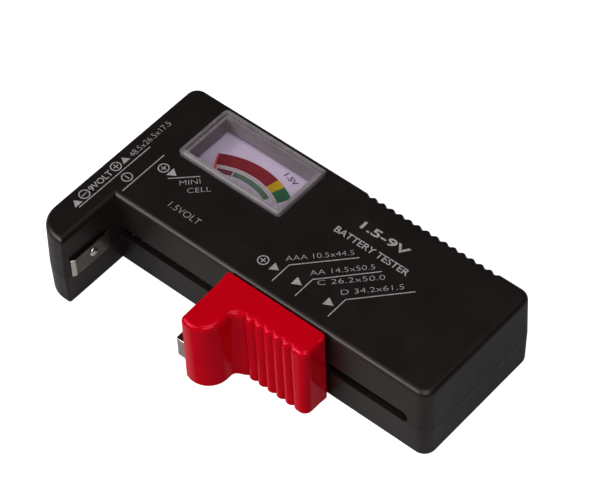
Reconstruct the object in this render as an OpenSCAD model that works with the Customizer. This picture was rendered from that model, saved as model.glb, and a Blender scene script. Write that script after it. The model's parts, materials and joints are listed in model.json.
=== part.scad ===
// Hand-held battery tester: a black two-shell case with a moving-coil meter, a fixed
// contact on its arm and a red slider whose contact closes on the far end of a cell.
//
// Working frame of every module: X = 0 at the arm's outer face and grows to the right,
// Y = 0 at the front face of the body and grows to the back, Z = 0 on the table.
// at_home() moves that frame to the middle of the case's footprint.

/* [Case] */
// Length of the case
case_l = 108; // [107:0.5:112]
// Depth of the body behind the slider, without the arm
case_w = 40.7; // [40.7:0.1:44]
// Height of the case
case_h = 23.7; // [23.7:0.1:25]
// Reach of the arm in front of the body
arm_out = 19.2; // [19:0.1:22]
// Thickness of the arm
arm_t = 10.4; // [10:0.1:11]
// Height of the plane where the two covers meet
part_z = 10.2; // [10:0.1:10.5]
// Wall thickness of both covers
wall = 1.6; // [1.4:0.1:1.7]
// Draft of the side walls, in degrees
draft = 1.6; // [0.5:0.1:2]
// Upright corner radius of the body
corner_r = 3.6; // [2.5:0.1:5]
// Upright corner radius of the arm's outer end
arm_corner_r = 7.9; // [5:0.1:8.5]
// Rounding of the top edges
top_round = 1.1; // [0.6:0.1:1.3]
// Rounding of the bottom edges
bottom_round = 0.6; // [0.3:0.1:1]

/* [Grip] */
// Number of finger grooves in the back edge
groove_n = 15; // [5:1:15]
// Distance between finger grooves
groove_pitch = 2.74; // [2.2:0.01:2.8]
// Position of the first groove
groove_x = 58.2; // [55:0.1:60]

/* [Slot] */
// Lower edge of the slot
slot_z = 9.7; // [9.6:0.1:9.9]
// Height of the slot
slot_h = 3.2; // [3.2:0.1:3.6]
// Right end of the slot
slot_x1 = 102.1; // [102:0.1:103]

/* [Slider] */
// Left face of the knob at rest
knob_x = 47.3; // [47:0.1:49]
// Length of the knob
knob_l = 31; // [30:0.1:32]
// Reach of the knob's nose in front of the case
nose_y = 18.2; // [17:0.1:19]
// Reach of the knob's ribbed thumb face
thumb_y = 8.9; // [8:0.1:9.5]
// Radius of the nose
nose_r = 6; // [5.5:0.1:6.2]
// Number of grooves between the thumb ribs
thumb_grooves = 6; // [3:1:6]
// Distance between the thumb ribs
thumb_pitch = 2.84; // [2.4:0.01:2.9]

/* [Meter] */
// Left edge of the clear cover
cover_x = 12.5; // [12.3:0.1:12.6]
// Front edge of the clear cover
cover_y = 20.2; // [20:0.1:20.4]
// Length of the clear cover
cover_l = 33; // [32.5:0.1:33.2]
// Depth of the clear cover
cover_w = 18.3; // [18:0.1:18.4]
// Height of the clear cover above the case
cover_up = 1.2; // [0.6:0.1:1.8]
// Pivot of the pointer, from the left
pivot_x = 29; // [28.8:0.1:29.2]
// Pivot of the pointer, from the front face
pivot_y = 9.9; // [9.9:0.05:10]
// Top face of the dial plate
dial_z = 18.2; // [18.2:0.05:18.3]
// Length of the pointer from its pivot
pointer_r = 22.6; // [18:0.1:24]
// Direction of the pointer at rest, in degrees from +X
rest_a = 120.5; // [115:0.5:124]
// Swing of the pointer over the scale, in degrees
swing_a = 61; // [50:1:61]

/* [Hidden] */
$fn = 48;

black = [0.08, 0.08, 0.08];
red = [0.78, 0.03, 0.08];
nickel = [0.72, 0.70, 0.64];
brass = [0.80, 0.66, 0.34];
iron = [0.35, 0.35, 0.37];
big = 200;
skin = 0.01;
cut = 0.5;
gap = 0.15;
corner_steps = 8;

// case screws
boss_xy = [[6.2, 33.8], [5.2, -13.9], [101.2, 33.8], [99.5, 12.5]];
boss_r = 2.6;
screw_r = 1.25;
pilot_r = 1.1;
hole_r = 1.5;
head_r = 2.3;
sink_r = 2.5;
sink_z = 2.4;
screw_top = 16;

// arm contact: a bowed strip held by one rivet
strip_y0 = -17.4;
strip_y1 = -4.0;
strip_z0 = 9.3;
strip_z1 = 15.2;
strip_proud = 1.0;
strip_t = 0.5;
tab_z0 = 10.6;
tab_z1 = 14.6;
tab_in = 2.6;
rivet_y = -10;
rivet_z = 12.6;
rivet_r = 0.75;

// nine volt contacts on the left end
stud_y = [-5.0, 7.7];
stud_z = 15;
stud_head_r = 2.5;
stud_r = 1;
stud_seat = 0.4;
stud_out = 0.5;

// contact rail behind the slot
rail_y = 4.3;
rail_t = 0.4;
rail_x0 = 8.6;
rail_x1 = 105.6;
rail_z0 = 9.2;
rail_z1 = 14.6;
rail_lug = 3.4;
rail_screw_z = 6.4;
rail_screw_x = [rail_x0 + rail_lug / 2, rail_x1 - rail_lug / 2];
post_z = 9;

// slider
back_gap = 0.15;
knob_z0 = 0.7;
knob_z1 = case_h + 0.2;
knob_wall = 1.8;
knob_x1 = knob_x + knob_l;
nose_cx = knob_x + 3.1;
nose_cy = nose_r - nose_y;
hollow_r = 2.1;
neck_x0 = 51.3;
neck_x1 = 73;
neck_z0 = slot_z + gap;
neck_z1 = slot_z + slot_h - gap;
flange_y0 = wall + 0.12;
flange_y1 = 3.2;
plate_y = 1.7;
bolt_x = [59.5, 71.5];
bolt_z = slot_z + slot_h / 2;
blade_x = 45.2;
blade_t = 0.4;
blade_y0 = -17.4;
blade_y1 = -6;
blade_z0 = 7.2;
blade_z1 = 13.4;
tongue_x = 52.2;
foot_x = 57;
foot_y = flange_y1 + 0.05;

// meter
rim = 0.9;
frame_in_x = 1.8;
frame_in_y = 2.05;
cover_z0 = dial_z + 0.1;
cover_z1 = case_h + cover_up;
pass_z = 20.4;
box_x0 = cover_x - 0.05;
box_x1 = cover_x + cover_l + 0.05;
box_y0 = 4.9;
box_y1 = cover_y + cover_w;
box_z0 = 3;
box_floor = 0.8;
box_wall = 0.9;
box_front = 0.6;
dial_t = 0.5;
dial_y0 = 13.5;
box_z1 = dial_z - dial_t;
iron_z0 = 6.5;
iron_z1 = 14.5;
pole_in = 3.3;
pole_out = 9.5;
pole_y0 = 5.7;
pole_y1 = 23;
pole_bore = 4.6;
core_r = 3;
magnet_y = 15.5;
former_w = 7;
former_t = 1.6;
former_z = [5.55, 15.45];
winding_w = 8;
winding_z = [5.3, 15.7];
bridge_z = 20.4;
bridge_t = 0.6;
low_bridge_z = box_z0 + box_floor;
low_bridge_t = 0.7;
jewel_r = 1;
spring_r0 = 0.72;
spring_r1 = 2.5;
spring_turns = 3;
spring_h = 0.3;
spring_z = [4.75, 16.6];
needle_z = 19.2;
stop_at = 7;
stop_a = 6;
dial_screw_xy = [[16.5, 16], [41.5, 16]];
terminal_y = [10, 14];
terminal_z = 11;
terminal_x1 = 48.5;

// resistors and wires
res_y = [14, 20, 26];
res_r = [1.6, 1.2, 1.2];
res_l = [9, 6.5, 6.5];
res_x = 60;
res_z = 4.5;
lead_r = 0.35;
lead_x = [53, 67];
wire_r = 0.6;
under_z = wall + wire_r + 0.05;
drop_z = res_z + lead_r + 0.05;

function lean(z) = abs(z - part_z) * tan(draft);

module at_home() {
    translate([-case_l / 2, (arm_out - case_w) / 2, 0]) children();
}

// Quarter circle about a corner's centre, starting at the angle from.
function quarter(centre, r, from) =
    [for (i = [0:corner_steps]) centre + r * [cos(from + 90 * i / corner_steps),
        sin(from + 90 * i / corner_steps)]];

// Rectangle with its own radius at each corner: front left, front right, back right, back left.
function rounded(lo, hi, radii) = concat(
    quarter([lo[0] + radii[0], lo[1] + radii[0]], radii[0], 180),
    quarter([hi[0] - radii[1], lo[1] + radii[1]], radii[1], 270),
    quarter([hi[0] - radii[2], hi[1] - radii[2]], radii[2], 0),
    quarter([lo[0] + radii[3], hi[1] - radii[3]], radii[3], 90));

// Solid through a stack of thin slabs, each given as [height, inset].
module stack(lo, hi, radii, slices) {
    hull() for (s = slices) translate([0, 0, s[0]]) linear_extrude(height = skin)
        polygon(rounded(lo + [s[1], s[1]], hi - [s[1], s[1]], [for (r = radii) max(r - s[1], 0.05)]));
}

// Body and arm together; extra shrinks the outline all round.
module outline_solid(slices, extra) {
    body_r = corner_r - extra;
    stack([extra, extra], [case_l - extra, case_w - extra], [0, body_r, body_r, body_r], slices);
    stack([extra, extra - arm_out], [arm_t - extra, case_w / 2],
        [arm_corner_r - extra, max(1 - extra, 0), 0, 0], slices);
}

module top_outer() {
    shoulder = case_h - top_round - skin;
    curve = [for (a = [0:22.5:90])
        [shoulder + top_round * sin(a), lean(shoulder) + top_round * (1 - cos(a))]];
    outline_solid(concat([[part_z, 0]], curve), 0);
}

module bottom_outer() {
    curve = [for (a = [90:-30:0])
        [bottom_round * (1 - sin(a)), lean(bottom_round) + bottom_round * (1 - cos(a))]];
    outline_solid(concat(curve, [[part_z - skin, 0]]), 0);
}

module top_hollow() {
    ceiling = case_h - wall - skin;
    outline_solid([[part_z - skin, 0], [ceiling, lean(ceiling)]], wall);
}

module bottom_hollow() {
    outline_solid([[wall, lean(wall)], [part_z, 0]], wall);
}

module bar(x, y, z) {
    translate([x[0], y[0], z[0]]) cube([x[1] - x[0], y[1] - y[0], z[1] - z[0]]);
}

module rod_x(x, y, z, r) {
    translate([x[0], y, z]) rotate([0, 90, 0]) cylinder(h = x[1] - x[0], r = r);
}

module rod_y(x, y, z, r) {
    translate([x, y[1], z]) rotate([90, 0, 0]) cylinder(h = y[1] - y[0], r = r);
}

module rod_z(x, y, z, r) {
    translate([x, y, z[0]]) cylinder(h = z[1] - z[0], r = r);
}

// Round wire through a list of points whose steps run along X, Y or Z.
module wire(points) {
    for (i = [0:len(points) - 2]) {
        step = points[i + 1] - points[i];
        span = norm(step);
        tilt = acos(step[2] / span);
        turn = atan2(step[1], step[0]);
        translate(points[i]) rotate([0, tilt, turn]) cylinder(h = span, r = wire_r, $fn = 24);
    }
    for (i = [1:len(points) - 2]) {
        translate(points[i]) sphere(r = wire_r, $fn = 24);
    }
}

module slot_cut() {
    end_r = slot_h / 2;
    mid_z = slot_z + end_r;
    bar([arm_t, slot_x1 - end_r], [-1, wall + 1], [slot_z, slot_z + slot_h]);
    rod_y(slot_x1 - end_r, [-1, wall + 1], mid_z, end_r);
}

// Finger grooves down the back wall, running out over the top edge.
module grip_cut() {
    for (i = [0:groove_n - 1]) {
        x = groove_x + i * groove_pitch;
        translate([x, case_w + 0.35, 0]) cylinder(h = big, r = 1.05, $fn = 24);
        translate([x, case_w + 0.1, case_h + 0.15]) rotate([60, 0, 0])
            cylinder(h = 10, r = 1.0, center = true, $fn = 24);
    }
}

module top_cover() {
    color(black) at_home() difference() {
        union() {
            difference() {
                top_outer();
                top_hollow();
            }
            for (p = boss_xy) rod_z(p[0], p[1], [part_z, case_h - wall + cut], boss_r);
        }
        for (p = boss_xy) rod_z(p[0], p[1], [part_z - cut, screw_top + 1], pilot_r);
        slot_cut();
        grip_cut();
        bar([cover_x - gap, cover_x + cover_l + gap], [cover_y - gap, cover_y + cover_w + gap],
            [case_h - wall - 1, big]);
        rod_x([0, arm_t + 1], rivet_y, rivet_z, rivet_r + 0.05);
        bar([arm_t / 2 + 2, arm_t + 1], [strip_y0 - 0.1, strip_y0 + strip_t + 0.1],
            [tab_z0 - 0.1, tab_z1 + 0.1]);
        for (y = stud_y) {
            rod_x([-1, wall + 1], y, stud_z, stud_r + 0.05);
            rod_x([-1, stud_seat], y, stud_z, stud_head_r + 0.1);
        }
    }
}

module bottom_cover() {
    color(black) at_home() difference() {
        union() {
            difference() {
                bottom_outer();
                bottom_hollow();
            }
            for (p = boss_xy) rod_z(p[0], p[1], [wall - cut, part_z], boss_r + 0.4);
            for (x = rail_screw_x)
                bar([x - 1.8, x + 1.8], [rail_y + rail_t + 0.02, 9.5], [wall - cut, post_z]);
            for (x = [18, 40])
                for (y = [6, 30])
                    bar([x - 0.6, x + 0.6], [y, y + 4], [wall - cut, box_z0]);
            for (x = [57.5, 62.5]) bar([x - 0.5, x + 0.5], [11, 29], [wall - cut, res_z - res_r[0]]);
        }
        slot_cut();
        grip_cut();
        for (p = boss_xy) {
            rod_z(p[0], p[1], [-cut, part_z + cut], hole_r);
            rod_z(p[0], p[1], [-cut, sink_z], sink_r);
        }
        for (x = rail_screw_x) rod_y(x, [rail_y, 8.6], rail_screw_z, 0.7);
    }
}

module cross_recess(depth) {
    for (a = [0, 90]) rotate([0, 0, a]) translate([-1.2, -0.25, 0]) cube([2.4, 0.5, depth]);
}

module case_screws() {
    color(nickel) at_home() for (p = boss_xy) difference() {
        union() {
            rod_z(p[0], p[1], [0.7, sink_z], head_r);
            rod_z(p[0], p[1], [sink_z, screw_top], screw_r);
        }
        translate([p[0], p[1], 0]) cross_recess(1.6);
    }
}

module arm_contact() {
    face_x = arm_t + strip_proud;
    color(nickel) at_home() difference() {
        union() {
            bar([face_x - strip_t, face_x], [strip_y0, strip_y1], [strip_z0, strip_z1]);
            bar([arm_t + 0.02, face_x], [strip_y1 - strip_t, strip_y1], [strip_z0, strip_z1]);
            bar([arm_t + 0.02, face_x], [strip_y0, strip_y0 + strip_t], [strip_z0, strip_z1]);
            bar([arm_t - tab_in, arm_t + 0.5], [strip_y0, strip_y0 + strip_t], [tab_z0, tab_z1]);
        }
        rod_x([arm_t, face_x + 1], rivet_y, rivet_z, rivet_r + 0.05);
    }
}

module arm_rivet() {
    face_x = arm_t + strip_proud;
    color(nickel) at_home() {
        rod_x([face_x, face_x + 0.35], rivet_y, rivet_z, 1.2);
        rod_x([arm_t - wall - 1, face_x], rivet_y, rivet_z, rivet_r);
        rod_x([arm_t - wall - 1, arm_t - wall - 0.35], rivet_y, rivet_z, 1.3);
    }
}

module nine_volt_stud(y) {
    color(nickel) at_home() {
        rod_x([-stud_out, stud_seat], y, stud_z, stud_head_r);
        rod_x([0, wall + 1.2], y, stud_z, stud_r);
        rod_x([wall + 0.4, wall + 1.2], y, stud_z, 1.7);
    }
}

module nine_volt_negative() {
    nine_volt_stud(stud_y[0]);
}

module nine_volt_positive() {
    nine_volt_stud(stud_y[1]);
}

module contact_rail() {
    color(nickel) at_home() difference() {
        union() {
            bar([rail_x0, rail_x1], [rail_y, rail_y + rail_t], [rail_z0, rail_z1]);
            bar([rail_x0, rail_x0 + rail_lug], [rail_y, rail_y + rail_t], [4.2, rail_z0]);
            bar([rail_x1 - rail_lug, rail_x1], [rail_y, rail_y + rail_t], [4.2, rail_z0]);
        }
        for (x = rail_screw_x) rod_y(x, [rail_y - 1, rail_y + 1], rail_screw_z, 1);
    }
}

module rail_screws() {
    color(nickel) at_home() for (x = rail_screw_x) difference() {
        union() {
            rod_y(x, [rail_y - 1.1, rail_y], rail_screw_z, 1.5);
            rod_y(x, [rail_y, 8.3], rail_screw_z, 0.9);
        }
        bar([x - 0.2, x + 0.2], [rail_y - 2, rail_y - 0.6], [rail_screw_z - 2, rail_screw_z + 2]);
    }
}

// Plan of the knob: nose lobe on the left, thumb face on the right, a hollow between them.
module knob_plan() {
    thumb_x = knob_x1 - 1.6;
    lobe_x = nose_cx + nose_r;
    difference() {
        union() {
            intersection() {
                translate([nose_cx, nose_cy]) circle(r = nose_r, $fn = 96);
                translate([knob_x, -nose_y]) square([nose_r * 2, nose_y - back_gap]);
            }
            translate([knob_x, nose_cy]) square([lobe_x - knob_x, -nose_cy - back_gap]);
            translate([knob_x, -thumb_y]) square([thumb_x - knob_x, thumb_y - back_gap]);
            translate([thumb_x, -thumb_y + 1.6])
                square([1.6, thumb_y - 1.6 - back_gap]);
            translate([thumb_x, -thumb_y + 1.6]) circle(r = 1.6);
            difference() {
                translate([lobe_x, -thumb_y - hollow_r]) square([hollow_r, hollow_r]);
                translate([lobe_x + hollow_r, -thumb_y - hollow_r]) circle(r = hollow_r);
            }
        }
        translate([knob_x - 1, -nose_y - 1]) square([2, 2.2]);
        for (i = [0:thumb_grooves - 1])
            translate([58.88 + i * thumb_pitch, -thumb_y - 0.75]) circle(r = 1.3);
    }
}

module slider_knob() {
    in_x1 = knob_x1 - knob_wall;
    in_z = [knob_z0 + knob_wall, knob_z1 - knob_wall];
    color(red) at_home() difference() {
        union() {
            difference() {
                translate([0, 0, knob_z0]) linear_extrude(height = knob_z1 - knob_z0) knob_plan();
                bar([knob_x + knob_wall, in_x1], [-thumb_y + 2.2, 1], in_z);
                bar([knob_x + knob_wall, nose_cx + nose_r - knob_wall],
                    [nose_cy - 2, 1], in_z);
            }
            for (x = bolt_x) rod_y(x, [-thumb_y + 1.5, -plate_y - back_gap - 0.05], bolt_z, 2.2);
        }
        for (x = bolt_x) rod_y(x, [-thumb_y + 2.6, 1], bolt_z, 0.75);
        bar([knob_x - 1, knob_x + knob_wall + 1], [blade_y0 - 0.1, blade_y0 + blade_t + 0.1],
            [blade_z0 - 0.1, blade_z1 + 1.4]);
        bar([knob_x - 1, knob_x + knob_wall + 1], [blade_y1 - blade_t - 0.1, blade_y1 + 0.1],
            [blade_z0 - 0.1, blade_z1 + 0.1]);
    }
}

// Closing plate inside the knob, neck through the slot and guide flange behind the wall.
module slider_carriage() {
    color(red) at_home() difference() {
        union() {
            bar([knob_x + knob_wall + 0.1, knob_x1 - knob_wall - 0.1],
                [-plate_y - back_gap, -back_gap - 0.05],
                [knob_z0 + knob_wall + 0.1, knob_z1 - knob_wall - 0.1]);
            bar([neck_x0, neck_x1], [-back_gap - 0.1, flange_y0 + 0.1], [neck_z0, neck_z1]);
            bar([neck_x0 - 0.3, neck_x1 + 0.3], [flange_y0, flange_y1], [8.2, 14.6]);
        }
        for (x = bolt_x) {
            rod_y(x, [-3, 4], bolt_z, 1);
            rod_y(x, [flange_y1 - 1, 4], bolt_z, 1.9);
        }
        bar([tongue_x - 0.05, tongue_x + blade_t + 0.05], [-3, 4], [10.1, 12.5]);
    }
}

module slider_screws() {
    color(nickel) at_home() for (x = bolt_x) difference() {
        union() {
            rod_y(x, [-thumb_y + 2.8, flange_y1 - 1], bolt_z, 0.9);
            rod_y(x, [flange_y1 - 1, flange_y1 - 0.1], bolt_z, 1.7);
        }
        bar([x - 0.2, x + 0.2], [flange_y1 - 0.6, flange_y1], [bolt_z - 2, bolt_z + 2]);
    }
}

module slider_contact() {
    blade_in = knob_x + knob_wall + 0.6;
    color(nickel) at_home() {
        bar([blade_x, blade_x + blade_t], [blade_y0, blade_y1], [blade_z0, blade_z1]);
        bar([blade_x, blade_in], [blade_y0, blade_y0 + blade_t], [blade_z0, blade_z1]);
        bar([blade_x, tongue_x + blade_t], [blade_y1 - blade_t, blade_y1], [10.2, 12.4]);
        bar([blade_x, knob_x], [blade_y1 - blade_t, blade_y1], [blade_z0, blade_z1]);
        bar([tongue_x, tongue_x + blade_t], [blade_y1 - blade_t, foot_y + blade_t], [10.2, 12.4]);
        bar([tongue_x, foot_x], [foot_y, foot_y + blade_t], [10.2, 12.4]);
    }
}

// Bowed leaf that rubs on the rail.
module slider_wiper() {
    base_y = foot_y + blade_t;
    reach = rail_y - 0.02 - base_y;
    leaf = 0.15;
    xs = [53.4, 56.6, 60, 62, 63.6, 66];
    ys = [0, 0, reach - leaf, reach - leaf, reach - leaf - 0.1, 0.05];
    color(brass) at_home() translate([0, 0, 10.4]) linear_extrude(height = 1.8)
        polygon(concat(
            [for (i = [0:5]) [xs[i], base_y + ys[i]]],
            [for (i = [5:-1:0]) [xs[i], base_y + ys[i] + leaf]]));
}

module meter_cover() {
    bevel = 0.7;
    color([0.85, 0.9, 0.95, 0.4]) at_home() difference() {
        union() {
            bar([cover_x, cover_x + cover_l], [cover_y, cover_y + cover_w],
                [cover_z0, cover_z1 - bevel]);
            hull() {
                bar([cover_x, cover_x + cover_l], [cover_y, cover_y + cover_w],
                    [cover_z1 - bevel - skin, cover_z1 - bevel]);
                bar([cover_x + bevel, cover_x + cover_l - bevel],
                    [cover_y + bevel, cover_y + cover_w - bevel], [cover_z1 - skin, cover_z1]);
            }
        }
        bar([cover_x + rim, cover_x + cover_l - rim], [cover_y + rim, cover_y + cover_w - rim],
            [cover_z0 - 1, case_h - 0.1]);
        bar([cover_x + rim, cover_x + cover_l - rim], [cover_y - 1, cover_y + rim + 1],
            [cover_z0 - 1, pass_z]);
    }
}

module meter_frame() {
    color([0.62, 0.6, 0.6]) at_home() difference() {
        bar([cover_x + rim + 0.05, cover_x + cover_l - rim - 0.05],
            [cover_y + rim + 0.05, cover_y + cover_w - rim - 0.05], [cover_z0, case_h - 0.2]);
        bar([cover_x + frame_in_x, cover_x + cover_l - frame_in_x],
            [cover_y + frame_in_y, cover_y + cover_w - frame_in_y + 0.2], [0, big]);
        bar([cover_x + frame_in_x, cover_x + cover_l - frame_in_x],
            [cover_y - 1, cover_y + frame_in_y + 1], [0, pass_z]);
    }
}

module meter_case() {
    color([0.75, 0.75, 0.73]) at_home() difference() {
        union() {
            difference() {
                bar([box_x0, box_x1], [box_y0, box_y1], [box_z0, box_z1]);
                bar([box_x0 + box_wall, box_x1 - box_wall],
                    [box_y0 + box_front, box_y1 - box_wall], [box_z0 + box_floor, big]);
            }
            for (p = dial_screw_xy) rod_z(p[0], p[1], [box_z0 + cut, box_z1], 2);
            bar([pivot_x - pole_out, pivot_x - pole_in], [pole_y0 + 2, pole_y1],
                [box_z0 + cut, iron_z0]);
            bar([pivot_x + pole_in, pivot_x + pole_out], [pole_y0 + 2, pole_y1],
                [box_z0 + cut, iron_z0]);
        }
        rod_z(pivot_x, pivot_y, [0, big], 4.8);
        for (p = dial_screw_xy) rod_z(p[0], p[1], [10, big], 0.7);
        for (y = terminal_y) rod_x([box_x1 - 2, big], y, terminal_z, 1);
    }
    color([0.75, 0.75, 0.73]) at_home() difference() {
        rod_z(pivot_x, pivot_y, [box_z0, low_bridge_z], 4.8);
        rod_z(pivot_x, pivot_y, [0, big], jewel_r + 0.2);
    }
}

module dial_plate() {
    color([0.93, 0.91, 0.96]) at_home() difference() {
        bar([box_x0 + 0.3, box_x1 - 0.3], [dial_y0, box_y1 - 0.3], [dial_z - dial_t, dial_z]);
        for (p = dial_screw_xy) rod_z(p[0], p[1], [0, big], 0.95);
    }
}

module dial_screws() {
    color(nickel) at_home() for (p = dial_screw_xy) difference() {
        union() {
            rod_z(p[0], p[1], [dial_z, dial_z + 0.7], 1.5);
            rod_z(p[0], p[1], [11, dial_z], 0.85);
        }
        bar([p[0] - 2, p[0] + 2], [p[1] - 0.2, p[1] + 0.2], [dial_z + 0.3, big]);
    }
}

module magnet() {
    color([0.25, 0.25, 0.28]) at_home()
        bar([pivot_x - pole_in, pivot_x + pole_in], [magnet_y, pole_y1], [iron_z0, iron_z1]);
}

module pole_pieces() {
    color(iron) at_home() for (side = [-1, 1]) difference() {
        translate([pivot_x, 0, 0])
            bar(side < 0 ? [-pole_out, -pole_in] : [pole_in, pole_out], [pole_y0, pole_y1],
                [iron_z0, iron_z1]);
        rod_z(pivot_x, pivot_y, [0, big], pole_bore);
    }
}

module core() {
    color(iron) at_home() rod_z(pivot_x, pivot_y, [iron_z0, iron_z1], core_r);
}

module core_bracket() {
    color(brass) at_home() difference() {
        union() {
            bar([pivot_x - pole_in, pivot_x + pole_in], [14.2, magnet_y], [8, 13]);
            bar([pivot_x - 1, pivot_x + 1], [pivot_y, 14.3], [8, 13]);
        }
        rod_z(pivot_x, pivot_y, [0, big], core_r);
    }
}

module coil_ring(outer_w, inner_w, t, outer_z, inner_z) {
    difference() {
        bar([-outer_w / 2, outer_w / 2], [-t / 2, t / 2], outer_z);
        bar([-inner_w / 2, inner_w / 2], [-t, t], inner_z);
    }
}

module on_pivot(a) {
    at_home() translate([pivot_x, pivot_y, 0]) rotate([0, 0, a]) children();
}

module coil_former() {
    color([0.8, 0.8, 0.82]) on_pivot(rest_a - 90)
        coil_ring(former_w, former_w - 0.5, former_t, former_z, [former_z[0] + 0.4, former_z[1] - 0.4]);
}

module coil_winding() {
    color([0.72, 0.4, 0.2]) on_pivot(rest_a - 90)
        coil_ring(winding_w, former_w, former_t - 0.2, winding_z, former_z);
}

module pivot_shafts() {
    color(nickel) on_pivot(0) {
        rod_z(0, 0, [winding_z[1], 20.6], 0.4);
        rod_z(0, 0, [spring_z[1] - 0.1, spring_z[1] + 0.4], spring_r0 - 0.02);
        rod_z(0, 0, [4.45, winding_z[0]], 0.3);
        rod_z(0, 0, [spring_z[0], winding_z[0]], spring_r0 - 0.02);
    }
}

function spiral(t, w) = (spring_r0 + w + (spring_r1 - spring_r0) * t)
    * [cos(360 * spring_turns * t), sin(360 * spring_turns * t)];

module hairsprings() {
    n = spring_turns * 24;
    color([0.85, 0.6, 0.3]) on_pivot(0) for (z = spring_z) translate([0, 0, z])
        linear_extrude(height = spring_h) polygon(concat(
            [for (i = [0:n]) spiral(i / n, 0)],
            [for (i = [n:-1:0]) spiral(i / n, 0.12)]));
}

module pointer() {
    tip = 0.14;
    root = 0.3;
    color(red) on_pivot(rest_a) difference() {
        union() {
            rod_z(0, 0, [needle_z - 0.3, needle_z + 0.5], 1.1);
            translate([0, 0, needle_z]) linear_extrude(height = 0.2)
                polygon([[-4, -root], [pointer_r, -tip], [pointer_r, tip], [-4, root]]);
        }
        rod_z(0, 0, [0, big], 0.4);
    }
}

module balance_weight() {
    color(brass) on_pivot(rest_a) difference() {
        bar([-3.9, -2.6], [-0.8, 0.8], [needle_z - 0.5, needle_z + 0.7]);
        bar([-5, 0], [-0.4, 0.4], [needle_z - 0.01, needle_z + 0.21]);
    }
}

// Brass strip over the movement, standing on the pole pieces.
module top_bridge() {
    leg = 1;
    color(brass) at_home() difference() {
        union() {
            bar([pivot_x - pole_out, pivot_x + pole_out], [8.2, 11.6], [bridge_z, bridge_z + bridge_t]);
            for (x = [pivot_x - pole_out, pivot_x + pole_out - leg])
                bar([x, x + leg], [8.2, 11.6], [iron_z1, bridge_z + cut]);
            bar([pivot_x - pole_out, pivot_x - pole_out + 3.4], [8.2, 11.6], [iron_z1, iron_z1 + 0.6]);
            bar([pivot_x + pole_out - 3.4, pivot_x + pole_out], [8.2, 11.6], [iron_z1, iron_z1 + 0.6]);
        }
        rod_z(pivot_x, pivot_y, [bridge_z - 1, big], jewel_r);
        for (s = [-1, 1]) rod_z(pivot_x + s * 7.4, pivot_y, [iron_z1 - 1, iron_z1 + 1], 0.75);
    }
}

module bottom_bridge() {
    color(brass) at_home() difference() {
        bar([pivot_x - 4, pivot_x + 4], [pivot_y - 2.4, pivot_y + 2.4],
            [low_bridge_z, low_bridge_z + low_bridge_t]);
        rod_z(pivot_x, pivot_y, [0, big], jewel_r);
    }
}

// Two screws through the feet of the top bridge into the pole pieces' faces.
module bridge_screws() {
    color(nickel) at_home() for (s = [-1, 1]) difference() {
        rod_z(pivot_x + s * 7.4, pivot_y, [iron_z1 + 0.6, iron_z1 + 1.2], 1.05);
        bar([pivot_x + s * 7.4 - 2, pivot_x + s * 7.4 + 2], [pivot_y - 0.15, pivot_y + 0.15],
            [iron_z1 + 0.9, big]);
    }
}

module jewel_screws() {
    color(brass) on_pivot(0) {
        difference() {
            rod_z(0, 0, [20.2, 21.8], jewel_r);
            rod_z(0, 0, [20, 20.7], 0.45);
            bar([-2, 2], [-0.15, 0.15], [21.4, big]);
        }
        difference() {
            rod_z(0, 0, [3.1, 4.7], jewel_r);
            rod_z(0, 0, [4.4, 5], 0.35);
        }
    }
}

module spring_anchors() {
    reach = spring_r1 + 0.16;
    color(brass) on_pivot(0) {
        rod_z(5.6, 0, [iron_z1, spring_z[1] + 0.4], 0.4);
        bar([reach, 5.6], [-0.3, 0.3], [spring_z[1] - 0.1, spring_z[1] + 0.4]);
        bar([reach, reach + 0.6], [-0.4, 0.4], [low_bridge_z + low_bridge_t, spring_z[0] + 0.4]);
    }
}

module stop_pins() {
    color(nickel) on_pivot(0)
        for (a = [rest_a + stop_a, rest_a - swing_a - stop_a])
            rod_z(stop_at * cos(a), stop_at * sin(a), [dial_z, needle_z + 0.4], 0.35);
}

module meter_terminals() {
    color(brass) at_home() for (y = terminal_y) {
        rod_x([box_x1 - 1.8, terminal_x1], y, terminal_z, 0.95);
        rod_x([box_x1 + 0.02, box_x1 + 0.8], y, terminal_z, 1.7);
    }
}

module resistor(i) {
    half = res_l[i] / 2;
    rod_x([res_x - half, res_x + half], res_y[i], res_z, res_r[i] * 0.86);
    for (s = [-1, 1]) translate([res_x + s * (half - 1.1), res_y[i], res_z]) rotate([0, 90, 0])
        cylinder(h = 2.2, r = res_r[i], center = true);
}

module load_resistor() {
    color([0.55, 0.75, 0.85]) at_home() resistor(0);
}

module series_resistor() {
    color([0.82, 0.7, 0.5]) at_home() resistor(1);
}

module nine_volt_resistor() {
    color([0.82, 0.7, 0.5]) at_home() resistor(2);
}

module resistor_leads() {
    color([0.8, 0.8, 0.8]) at_home() for (i = [0:2]) {
        rod_x([lead_x[0] - 0.6, res_x - res_l[i] / 2], res_y[i], res_z, lead_r);
        rod_x([res_x + res_l[i] / 2, lead_x[1] + 0.6], res_y[i], res_z, lead_r);
    }
}

module red_wire() {
    color("red") at_home() {
        wire([[lead_x[1], rail_y + rail_t + 0.02, 12], [lead_x[1], res_y[1], 12],
            [lead_x[1], res_y[1], drop_z]]);
        wire([[lead_x[1], res_y[0], 12], [lead_x[1], res_y[0], drop_z]]);
    }
}

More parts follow.
